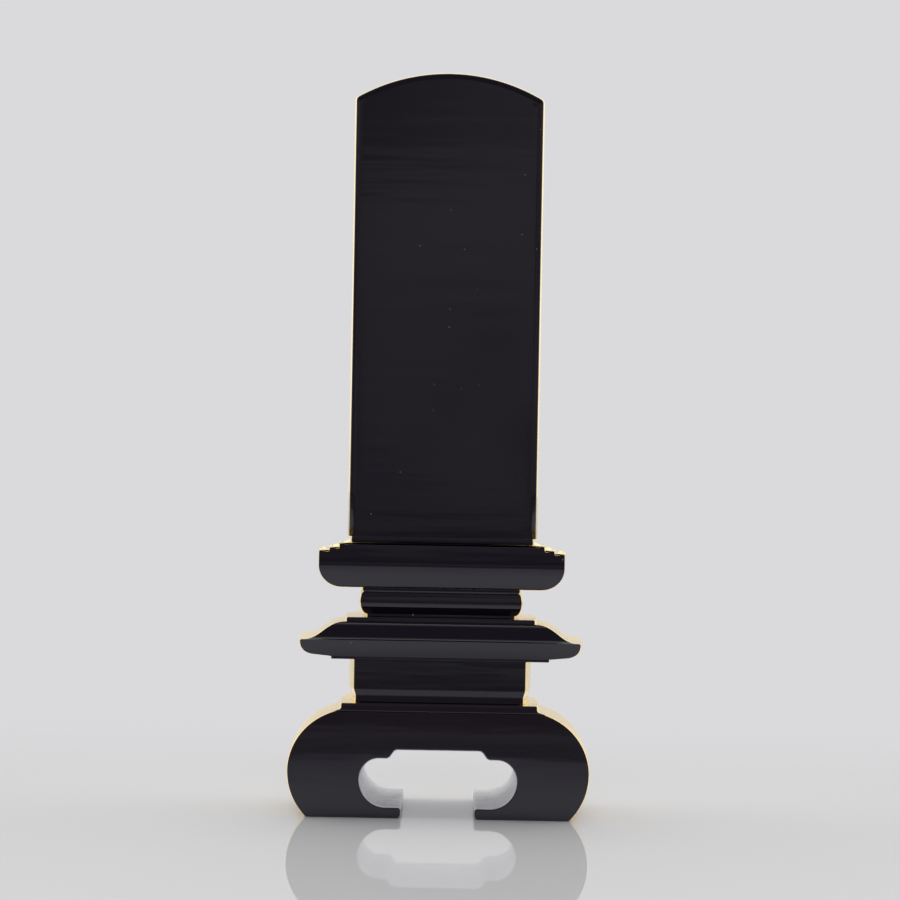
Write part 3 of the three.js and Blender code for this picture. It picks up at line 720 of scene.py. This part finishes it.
class Row:
    """One row of petals: its plan, its petals and the heights between which it stands."""

    def __init__(self, node_name, petals, drop):
        low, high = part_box(node_name)
        self.node_name = node_name
        self.corner_x = high.x - lotus_draw
        self.back = high.y - back_skin
        self.low, self.high = low.z, high.z
        self.petals = petals
        right = side_and_front(
            high.x - petal_swell, self.back, -low.y - petal_swell, lotus_draw, np.linspace(1, 0, 60), 239,
        )
        self.points = np.array(right + [(-x, y) for x, y in reversed(right[:-1])])
        self.out = -outward_normals(self.points, (0.0, 1.0))
        self.out[0] = (1.0, 0.0)
        lengths = lengths_along(self.points)
        self.length = lengths[-1]
        self.share = lengths / self.length
        turns = np.linspace(-math.pi / 2, math.pi / 2, STEPS_PER_PETAL + 1)[1:]
        shares = (np.arange(petals + 1)[:, None] + 0.5 * np.sin(turns)).ravel() / petals
        clear_of_ends = (shares > END_MARGIN) & (shares < 1 - END_MARGIN)
        self.shares = np.concatenate([[0.0], shares[clear_of_ends], [1.0]])
        self.across = np.abs(2 * ((self.shares * petals + 0.5) % 1.0) - 1)
        self.rim = self.high - drop * (0.26 * self.across**0.8 + 0.74 * self.across**2.8)

    def at(self, offset, shares=None):
        """Plan points, moved out by an offset and no further back than the row's plane back."""
        shares = self.shares if shares is None else shares
        base, out = (sampled(shares, self.share, rows) for rows in (self.points, self.out))
        moved = base + out * np.broadcast_to(offset, shares.shape)[:, None]
        moved[:, 1] = np.minimum(moved[:, 1], self.back)
        return moved

    def carving(self, z):
        """How far the petals stand out at a height: a full belly, a rib, a raised edge and a curled tip."""
        a = self.across
        below_rim = self.rim - z
        from_edge = np.minimum((1 - a) * self.length / self.petals / 2, below_rim)
        belly = petal_swell * 0.84 * np.sqrt(np.maximum(1 - a**2.2, 0))
        edge = petal_edge * hump(from_edge, 0.4 * MM, 0.34 * MM)
        hollow = petal_edge * hump(from_edge, 1.2 * MM, 0.42 * MM)
        rib = petal_rib * hump(a, 0.0, 0.09) * np.clip((below_rim - 0.9 * MM) / (1.2 * MM), 0, 1)
        curl = petal_curl * hump(a, 0.0, 0.32) * np.clip(1 - below_rim / (2.6 * MM), 0, 1) ** 2
        return np.minimum(belly + edge - hollow + rib + curl, petal_swell)


outer_row = Row("lotus_bowl", 10, 3.6 * MM)
middle_row = Row("lotus_middle_petals", 9, 2.6 * MM)
upper_row = Row("lotus_upper_petals", 8, 1.6 * MM)

board_low, board_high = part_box("tablet_board")
slab_low, slab_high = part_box("seed_pod_slab")
tenon_bottom = board_low.z
tenon_middle = Vector((0.0, (board_low.y + board_high.y) / 2))
mortise_half = np.array([9.3, 3.1]) * MM
mortise_bottom = tenon_bottom - 0.5 * MM


def mortise_ring(ring, z):
    """The mortise's edge at a height, with a point for each point of the ring round it."""
    flat = np.array(ring)[:, :2] - np.array(tenon_middle)
    cut = flat * (mortise_half / np.maximum(np.abs(flat), 1e-9)).min(axis=1)[:, None]
    for corner in np.array([(-1, -1), (-1, 1), (1, -1), (1, 1)]) * mortise_half:
        cut[np.argmin(np.linalg.norm(cut - corner, axis=1))] = corner
    return [(x + tenon_middle.x, y + tenon_middle.y, z) for x, y in cut]


# The petals' edge from its crest inwards: how far in, and how far above or below the crest's height
EDGE_OF_PETAL = [(0.1, 0.0), (0.28, 0.02), (0.5, 0.0), (0.7, -0.1), (0.88, -0.3), (1.0, -0.6)]
CORNER_STEPS = 9
POCKET_STEPS = 8
BLACK_LEVELS = 3
lotus_belly = 6.1 * MM
mouth_depth = 1.1 * MM
mouth_fit_depth = 2.2 * MM
mouth_gap = 0.25 * MM
mouth_closing = 0.05 * MM
mouth_opening_share = 0.03
pod_inset = 2.4 * MM
pod_back_inset = 0.8 * MM


def back_round(z):
    """How far the lotus's back lies in at a height: a long round over its foot."""
    down = min(max(outer_row.low + lotus_belly - z, 0.0) / lotus_belly, 1.0)
    return (0.75 * down + 1.45 * down**2) * MM


def row_ring(row, inner_row, inset, z, pocket_floor):
    """One ring of a row: its carved sides and front, then straight along its back past the pocket's mouth."""
    flat = row.at(row.carving(z) - inset)
    flat[:, 1] = np.minimum(flat[:, 1], row.back - np.array([back_round(h) for h in z]))
    side = [(p[0], p[1], h) for p, h in zip(flat, z)]
    x_end, z_end = flat[0, 0], z[0]
    start = inner_row.corner_x / row.corner_x if inner_row else 1.0
    half = [(s, False) for s in np.linspace(1, start, CORNER_STEPS)[1:]] if inner_row else []
    half += [(s, bool(inner_row)) for s in np.linspace(start, 0, POCKET_STEPS)[0 if inner_row else 1 :]]
    run = [(-s, pocket) for s, pocket in half] + [(s, pocket) for s, pocket in reversed(half[:-1])]
    y_back = row.back - back_round(z_end)
    back = [(s * x_end, y_back, min(z_end, pocket_floor) if pocket else z_end) for s, pocket in run]
    return side + back


def seated_row(name, row, lower, foot, inner_row):
    """A row of petals with the pocket for the row inside it and the mortise through its middle."""
    level_z = [(inset, np.full_like(row.rim, z)) for inset, z in lower]
    level_z += [(0.0, foot + (row.rim - foot) * share) for share in np.linspace(0.06, 1, 18)]
    level_z += [(inset * MM, row.rim + lift * MM) for inset, lift in EDGE_OF_PETAL]
    top = inner_row.low if inner_row else row.high
    rings = [row_ring(row, inner_row, inset, z, top) for inset, z in level_z]
    side_count = len(row.shares)
    back_x = [p[0] for p in rings[-1][side_count:]]
    if inner_row:
        from_back = np.clip(np.minimum(row.shares, 1 - row.shares) / mouth_opening_share, 0, 1)
        clearance = (mouth_gap + mouth_closing) * from_back - mouth_closing
        held = np.interp(row.shares, inner_row.shares, inner_row.carving(inner_row.rim - mouth_fit_depth))
        mouth = inner_row.at(held + clearance, row.shares)
        x_end = mouth[0, 0]
        for z_at in (np.maximum(row.rim - mouth_depth, top), np.full_like(row.rim, top)):
            ring = [(p[0], p[1], z) for p, z in zip(mouth, z_at)]
            rings.append(ring + [(float(np.clip(x, -x_end, x_end)), row.back, top) for x in back_x])
    else:
        pod_back = row.back - pod_back_inset
        flat = row.at(-pod_inset)
        x_end = flat[0, 0]
        ring = [(x, min(y, pod_back), top) for x, y in flat]
        rings.append(ring + [(x * x_end / max(back_x), pod_back, top) for x in back_x])
    lowest = row is outer_row
    rings.append(mortise_ring(rings[-1], top))
    rings.append(mortise_ring(rings[-1], mortise_bottom if lowest else row.low))

    def finish_at(level, k):
        if level == len(rings) - 2:
            return WOOD
        return GOLD if k < side_count - 1 or (inner_row and level >= BLACK_LEVELS) else BLACK

    ends = {"first_cap": BLACK, "last_cap": WOOD} if lowest else {"closed": True}
    piece(name, band(rings, finish_at, **ends), [row.node_name], ALL_FINISHES)


# Bare softwood, where it isn't lacquered: straight grain along the length, with darker late wood
bare_wood, timber, where, surface = shader("bare_wood")
fibres = timber.noise(timber.stretched(where, (900.0, 900.0, 40.0)), 1.0, 5.0, 0.6)
timber.into(surface, {
    "Base Color": timber.ramp(fibres, ((0.3, (0.36, 0.2, 0.09)), (0.7, (0.62, 0.42, 0.22)))),
    "Roughness": timber.span(fibres, 0.0, 1.0, 0.6, 0.8),
    "Normal": timber.bump(fibres, 0.3, 0.0002),
})
ALL_FINISHES = [black_lacquer, gold_leaf, silver_grey, bare_wood]

round_run = 5.9 * MM
round_height = 5.6 * MM
underside = [(round_run + 6.0 * MM, outer_row.low), (round_run, outer_row.low)]
underside += arc((round_run, outer_row.low + round_height), (round_run, round_height), 270, 180, 14)
seated_row("lotus_outer_petals", outer_row, underside, outer_row.low + round_height, middle_row)
seat_ease = 0.3 * MM
for name, row, inner_row in (
    ("lotus_middle_row", middle_row, upper_row),
    ("lotus_upper_row", upper_row, None),
):
    seat = [(seat_ease, row.low), (0.0, row.low + seat_ease)]
    seated_row(name, row, seat, row.low + seat_ease, inner_row)

# The lacquered back of all three rows: their stepped ends in one plate, with a shallow scoop behind each
# tip where the carver's gouge ran out
TIP = [
    (0.0, -0.5), (0.06, -0.2), (0.2, -0.05), (0.42, 0.0),
    (0.85, -0.01), (1.2, -0.1), (1.6, -0.3), (2.0, -0.36),
]
tip_depth = 0.8 * MM
plate_round = 0.24 * MM
plate_overlap = 0.02 * MM
sharpest_mitre = 0.35
gilt_levels = 3
corner_x = outer_row.corner_x
half = [(0.0, outer_row.low)] + [(corner_x - inset, z) for inset, z in underside[1:]]
for share in np.linspace(0.1, 0.9, 4):
    round_top = outer_row.low + round_height
    half.append((corner_x, round_top + (outer_row.high - round_top - tip_depth) * share))
plain_count = len(half)
for row, next_row in ((outer_row, middle_row), (middle_row, upper_row), (upper_row, None)):
    half += [(row.corner_x - inset * MM, row.high + lift * MM) for inset, lift in TIP]
    if next_row:
        half.append((next_row.corner_x + 0.1 * MM, row.high + (TIP[-1][1] + 0.1) * MM))
half.append((0.0, half[-1][1]))
half = np.array(half)
silhouette = np.concatenate([half, half[-2:0:-1] * (-1, 1)])
towards = np.roll(silhouette, -1, axis=0) - silhouette
towards /= np.linalg.norm(towards, axis=1)[:, None]
side_on = np.column_stack([-towards[:, 1], towards[:, 0]])
inwards = side_on + np.roll(side_on, 1, axis=0)
inwards /= np.maximum((inwards * side_on).sum(axis=1), sharpest_mitre)[:, None]
plate_back = outer_row.back + back_skin
plate_levels = [(0.0, back_skin + plate_overlap), (0.0, plate_round)]
plate_levels += arc((plate_round, plate_round), (plate_round, plate_round), 180, 270, 4)
plate_rings = []
for inset, forward in plate_levels:
    drawn_in = silhouette + inwards * inset
    plate_rings.append([(x, plate_back - forward - back_round(z), z) for x, z in drawn_in])
straight_top = (len(half) - 2, len(half) - 1)
points, faces, finish = band(
    plate_rings, lambda level, k: GOLD if level < gilt_levels and k not in straight_top else BLACK,
)
around = len(silhouette)
for start in (0, (len(plate_levels) - 1) * around):
    for k in range(1, plain_count - 1):
        faces.append((start + k, start + k + 1, start + around - k - 1, start + around - k))
    upper = list(range(plain_count - 1, around - plain_count + 2))
    faces += [(start, start + 1, start + around - 1), tuple(start + k for k in upper)]
finish += [BLACK] * (len(faces) - len(finish))
piece(
    "lotus_back", (points, faces, finish), ["lotus_bowl", "lotus_middle_petals", "lotus_upper_petals"],
    [black_lacquer, gold_leaf],
)


# Slab under the board
# A thin slab on the seed pod of the lotus, through which the board's tenon goes down. Gilt at the sides
# and in front, black behind.
slab_height = (slab_high.z - slab_low.z) / MM
profile = eased([(1.0, 0.0), (0.0, 0.0), (0.0, slab_height), (1.0, slab_height)], 0.3)
rings = moulded_rings("seed_pod_slab", 0.3, profile)
rings.append(mortise_ring(rings[-1], slab_high.z))
rings.append(mortise_ring(rings[-1], slab_low.z))
mortise_wall = len(rings) - 2
skin = band(
    rings, lambda level, k: WOOD if level == mortise_wall else moulded_finish(level, k), closed=True,
)
piece("board_seat_slab", skin, ["seed_pod_slab"], ALL_FINISHES)


# Board
# A single piece of wood with a domed top. The back and the panel in front are black lacquer polished to
# a mirror, and the sides, the dome's edge and the bevel round the front panel are gold leaf. The front is
# left bare, where a name would be. A bare wooden tenon under it stands loose in the mortise.
board_half = board_high.x
board_foot = slab_high.z
board_thickness = board_high.y - board_low.y
dome_radius = 48.6 * MM
dome_centre = board_high.z - dome_radius
board_corner = 0.8 * MM
side_bulge = 0.5 * MM


def board_outline(inset, foot):
    """The board seen from the front, drawn in at its sides and its dome, with eased top corners."""
    half = board_half - inset
    radius = dome_radius - inset
    spring = math.acos(half / radius)
    spring_z = dome_centre + radius * math.sin(spring)
    start_turn = spring + board_corner / radius
    dome_start = (radius * math.cos(start_turn), dome_centre + radius * math.sin(start_turn))
    right = [(0.0, board_foot + foot), (half * 0.5, board_foot + foot), (half, board_foot + foot)]
    side_run = spring_z - board_corner - board_foot - foot
    right += [(half, board_foot + foot + side_run * t) for t in np.linspace(0.1, 1, 10)]
    right += bend(right[-1], (half, spring_z), dome_start, 6)
    right += arc((0.0, dome_centre), (radius, radius), math.degrees(start_turn), 90, 35)
    return right + [(-x, z) for x, z in reversed(right[1:-1])]


back_bevel = (1.2, 0.5)
front_bevel = (2.0, 1.4)
flat_rim = 2.0
depth = board_thickness / MM
bulge = side_bulge / MM
section = [(bulge + back_bevel[0] + flat_rim, 0.0), (bulge + back_bevel[0], 0.0), (bulge, back_bevel[1])]
section = eased(section + [(bulge * 0.6, back_bevel[1] + 0.9)], 0.35)
gold_start = len(section) - 3
inner_depth = depth - front_bevel[1]
for t in np.linspace(0.15, 0.93, 14):
    section.append((bulge * (2 * t - 1) ** 2, back_bevel[1] + (inner_depth - back_bevel[1]) * t))
panel_edge = (bulge + front_bevel[0], depth)
section += eased(
    [section[-1], (bulge, inner_depth), panel_edge, (panel_edge[0] + flat_rim, depth)], 0.25,
)[1:]
panel_start = len(section) - 3
rings = []
for inset, behind in section:
    on_flat = flat_rim * MM if (inset, behind) in (section[0], section[-1]) else 0.0
    rings.append([(x, board_high.y - behind * MM, z) for x, z in board_outline(inset * MM, on_flat)])
points, faces, finish = band(
    rings, lambda level, k: GOLD if gold_start <= level < panel_start else BLACK,
    first_cap=BLACK, last_cap=BLACK,
)
tenon_ease = 0.6
tenon_round = 0.3 * MM
tenon_half = (9.0, 2.8)
tenon = []
tenon_depth = (board_foot - tenon_bottom) / MM
for inset, rise in ((tenon_ease, 0.0), (0.0, tenon_ease), (0.0, tenon_depth)):
    x, y = (tenon_half[0] - inset) * MM, (tenon_half[1] - inset) * MM
    ring = []
    for sx, sy in ((1, 1), (-1, 1), (-1, -1), (1, -1)):
        first, last = [(sx * x, sy * (y - tenon_round)), (sx * (x - tenon_round), sy * y)][:: sx * sy]
        ring += [first, *bend(first, (sx * x, sy * y), last, 4)]
    tenon.append([(px + tenon_middle.x, py + tenon_middle.y, tenon_bottom + rise * MM) for px, py in ring])
tenon_points, tenon_faces, tenon_finish = band(tenon, lambda level, k: WOOD, first_cap=WOOD, last_cap=WOOD)
shift = len(points)
points += tenon_points
faces += [tuple(k + shift for k in face) for face in tenon_faces]
finish += tenon_finish
piece(
    "memorial_board", (points, faces, finish), ["tablet_board"], ALL_FINISHES, body="tablet",
)


# Dowels
# Two pairs of softwood dowels that hold the stacked blocks of the stand together. They sit in their bores
# and are seen only when the stand is taken apart.
for name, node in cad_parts.items():
    if "dowel" in name:
        node.data.materials.clear()
        node.data.materials.append(bare_wood)


# Table, surroundings and camera
# A glossy white table, a pale backdrop behind the object, pale walls at the sides and a dim room on the
# camera's side, which is what the polished black back mirrors. The camera looks at the back from 0.9 m.
table_material, tabletop, where, surface = shader("white_table")
table_material.node_tree.nodes.remove(surface)
backdrop_colour = (0.7, 0.7, 0.715, 1)
FLOOR_OF_ROOM = (
    (0.178, (0.2, 0.18, 0.21)), (0.229, (0.2, 0.18, 0.21)), (0.245, (0.33, 0.31, 0.35)),
    (0.262, (0.33, 0.31, 0.35)), (0.285, (0.16, 0.12, 0.15)), (0.33, (0.17, 0.11, 0.14)),
    (0.47, (0.13, 0.12, 0.14)), (0.505, (0.34, 0.33, 0.37)), (0.545, (0.34, 0.33, 0.37)),
    (0.58, (0.15, 0.14, 0.16)), (0.9, (0.11, 0.1, 0.12)), (1.5, (0.12, 0.11, 0.13)),
    (2.4, (0.26, 0.24, 0.28)),
)
table_edge = FLOOR_OF_ROOM[0][0]
room_depth = FLOOR_OF_ROOM[-1][0] - table_edge
table_gloss = 0.57
rays = tabletop.node("ShaderNodeLightPath").outputs
axes = tabletop.node("ShaderNodeSeparateXYZ", {"Vector": where}).outputs
# Painted light: glossy rays see the table's paint much brighter within 0.06 m of the object, changing to a
# bluish grey past 0.15 m. This makes the lacquer's downward-facing mouldings mirror a brighter table. The
# camera and diffuse light see the paint's even tone of 0.555.
painted_light_for_reflections = tabletop.mix(tabletop.span(axes["Y"], 0.06, 0.15), (0.88, 0.87, 0.97, 1), (0.56, 0.55, 0.63, 1))
paint_tone_with_painted_light = tabletop.mix(rays["Is Glossy Ray"], (0.555, 0.555, 0.56, 1), painted_light_for_reflections)
shine = tabletop.node("ShaderNodeFresnel", {"IOR": 1.45}).outputs[0]
sideways = tabletop.maths("ABSOLUTE", axes["X"])
away = tabletop.maths("MAXIMUM", tabletop.step(sideways, 0.2, 0.42), tabletop.step(axes["Y"], 0.19, 0.4))
away = tabletop.maths("MAXIMUM", away, tabletop.step(axes["Y"], -0.07, -0.26))
past_edge = tabletop.step(axes["Y"], table_edge - 0.016, table_edge + 0.014)
mirrored = tabletop.maths("SUBTRACT", 1.0, rays["Is Camera Ray"])
along_room = tabletop.span(axes["Y"], table_edge, table_edge + room_depth)
room_floor = tabletop.ramp(along_room, [((y - table_edge) / room_depth, tone) for y, tone in FLOOR_OF_ROOM])


def over(share, below, above):
    """One surface over another, as far as the share says."""
    return tabletop.node("ShaderNodeMixShader", {0: share, 1: below, 2: above}).outputs[0]


paint = tabletop.node("ShaderNodeBsdfDiffuse", {"Color": paint_tone_with_painted_light}).outputs[0]
polish = tabletop.node("ShaderNodeBsdfGlossy", {"Color": (1, 1, 1, 1), "Roughness": 0.01}).outputs[0]
sweep = tabletop.node("ShaderNodeEmission", {"Color": backdrop_colour}).outputs[0]
dim_room = tabletop.node("ShaderNodeEmission", {"Color": room_floor}).outputs[0]
table_top = over(tabletop.maths("MULTIPLY", shine, table_gloss), paint, polish)
ended = over(tabletop.maths("MULTIPLY", past_edge, mirrored), over(away, table_top, sweep), dim_room)
tabletop.into(table_material.node_tree.nodes["Material Output"], {"Surface": ended})

table_reach = 3.0
mesh = bpy.data.meshes.new("table")
corners = ((-1, -1), (1, -1), (1, 1), (-1, 1))
mesh.from_pydata([(x * table_reach, y * table_reach, 0) for x, y in corners], [], [(0, 1, 2, 3)])
mesh.materials.append(table_material)
table = placed("table", mesh)

world = bpy.data.worlds.new("studio")
bpy.context.scene.world = world
world.use_nodes = True
world.node_tree.nodes.clear()
studio = Wiring(world.node_tree)
direction = studio.node("ShaderNodeTexCoord").outputs["Generated"]
axes = studio.node("ShaderNodeSeparateXYZ", {"Vector": direction}).outputs
walls = studio.step(studio.maths("ABSOLUTE", axes["X"]), 0.16, 0.42)
walls_or_top = studio.maths("MAXIMUM", walls, studio.step(axes["Z"], 0.14, 0.5))
tent = studio.mix(walls_or_top, (0.72, 0.72, 0.73, 1), (1.25, 1.25, 1.25, 1))
clutter = studio.step(studio.noise(direction, 11.0, 3.0), 0.36, 0.62)
room_wall = studio.mix(clutter, (0.13, 0.115, 0.14, 1), (0.37, 0.345, 0.395, 1))
room = studio.mix(studio.step(axes["Z"], 0.16, 0.42), room_wall, (0.1, 0.09, 0.11, 1))
lit = studio.mix(studio.step(axes["Y"], -0.15, 0.5), tent, room)
seen = studio.node("ShaderNodeLightPath").outputs["Is Camera Ray"]
light = studio.node("ShaderNodeBackground", {"Color": studio.mix(seen, lit, backdrop_colour)})
studio.node("ShaderNodeOutputWorld", {"Surface": light.outputs[0]})

for name, place, aim, size, power in (
    ("lamp_overhead", (0.0, -0.1, 1.1), (0.0, 0.0, 0.1), 0.9, 2.2),
    ("lamp_left", (0.95, -0.35, 0.55), (0.0, 0.0, 0.1), 0.6, 1.0),
    ("lamp_right", (-0.95, -0.35, 0.55), (0.0, 0.0, 0.1), 0.6, 1.0),
    ("lamp_behind_camera", (0.0, 1.0, 0.9), (0.0, 0.06, 0.0), 0.9, 2.2),
    ("lamp_low_front", (0.0, -1.0, 0.22), (0.0, 0.0, 0.01), 0.5, 2.6),
    ("lamp_low_behind", (0.0, 0.9, 0.3), (0.0, 0.0, 0.01), 0.4, 1.2),
):
    data = bpy.data.lights.new(name, "AREA")
    data.shape = "SQUARE"
    data.size = size
    data.energy = power
    lamp = placed(name, data)
    lamp.location = place
    lamp.rotation_euler = (Vector(aim) - Vector(place)).to_track_quat("-Z", "Y").to_euler()
    lamp.visible_glossy = False

camera_place = Vector((-3.64, 920.9, 105.3)) * MM
camera_yaw = math.radians(0.13)
camera_pitch = math.radians(0.673)
camera_roll = math.radians(1.03)
camera_data = bpy.data.cameras.new("camera")
camera_data.sensor_width = 36.0
camera_data.lens = 140.0
camera = placed("camera", camera_data)
camera.matrix_world = (
    Matrix.Translation(camera_place) @ Matrix.Rotation(math.pi + camera_yaw, 4, "Z")
    @ Matrix.Rotation(math.pi / 2 - camera_pitch, 4, "X") @ Matrix.Rotation(camera_roll, 4, "Z")
)
bpy.context.scene.camera = camera
bpy.context.scene.view_settings.view_transform = "Standard"
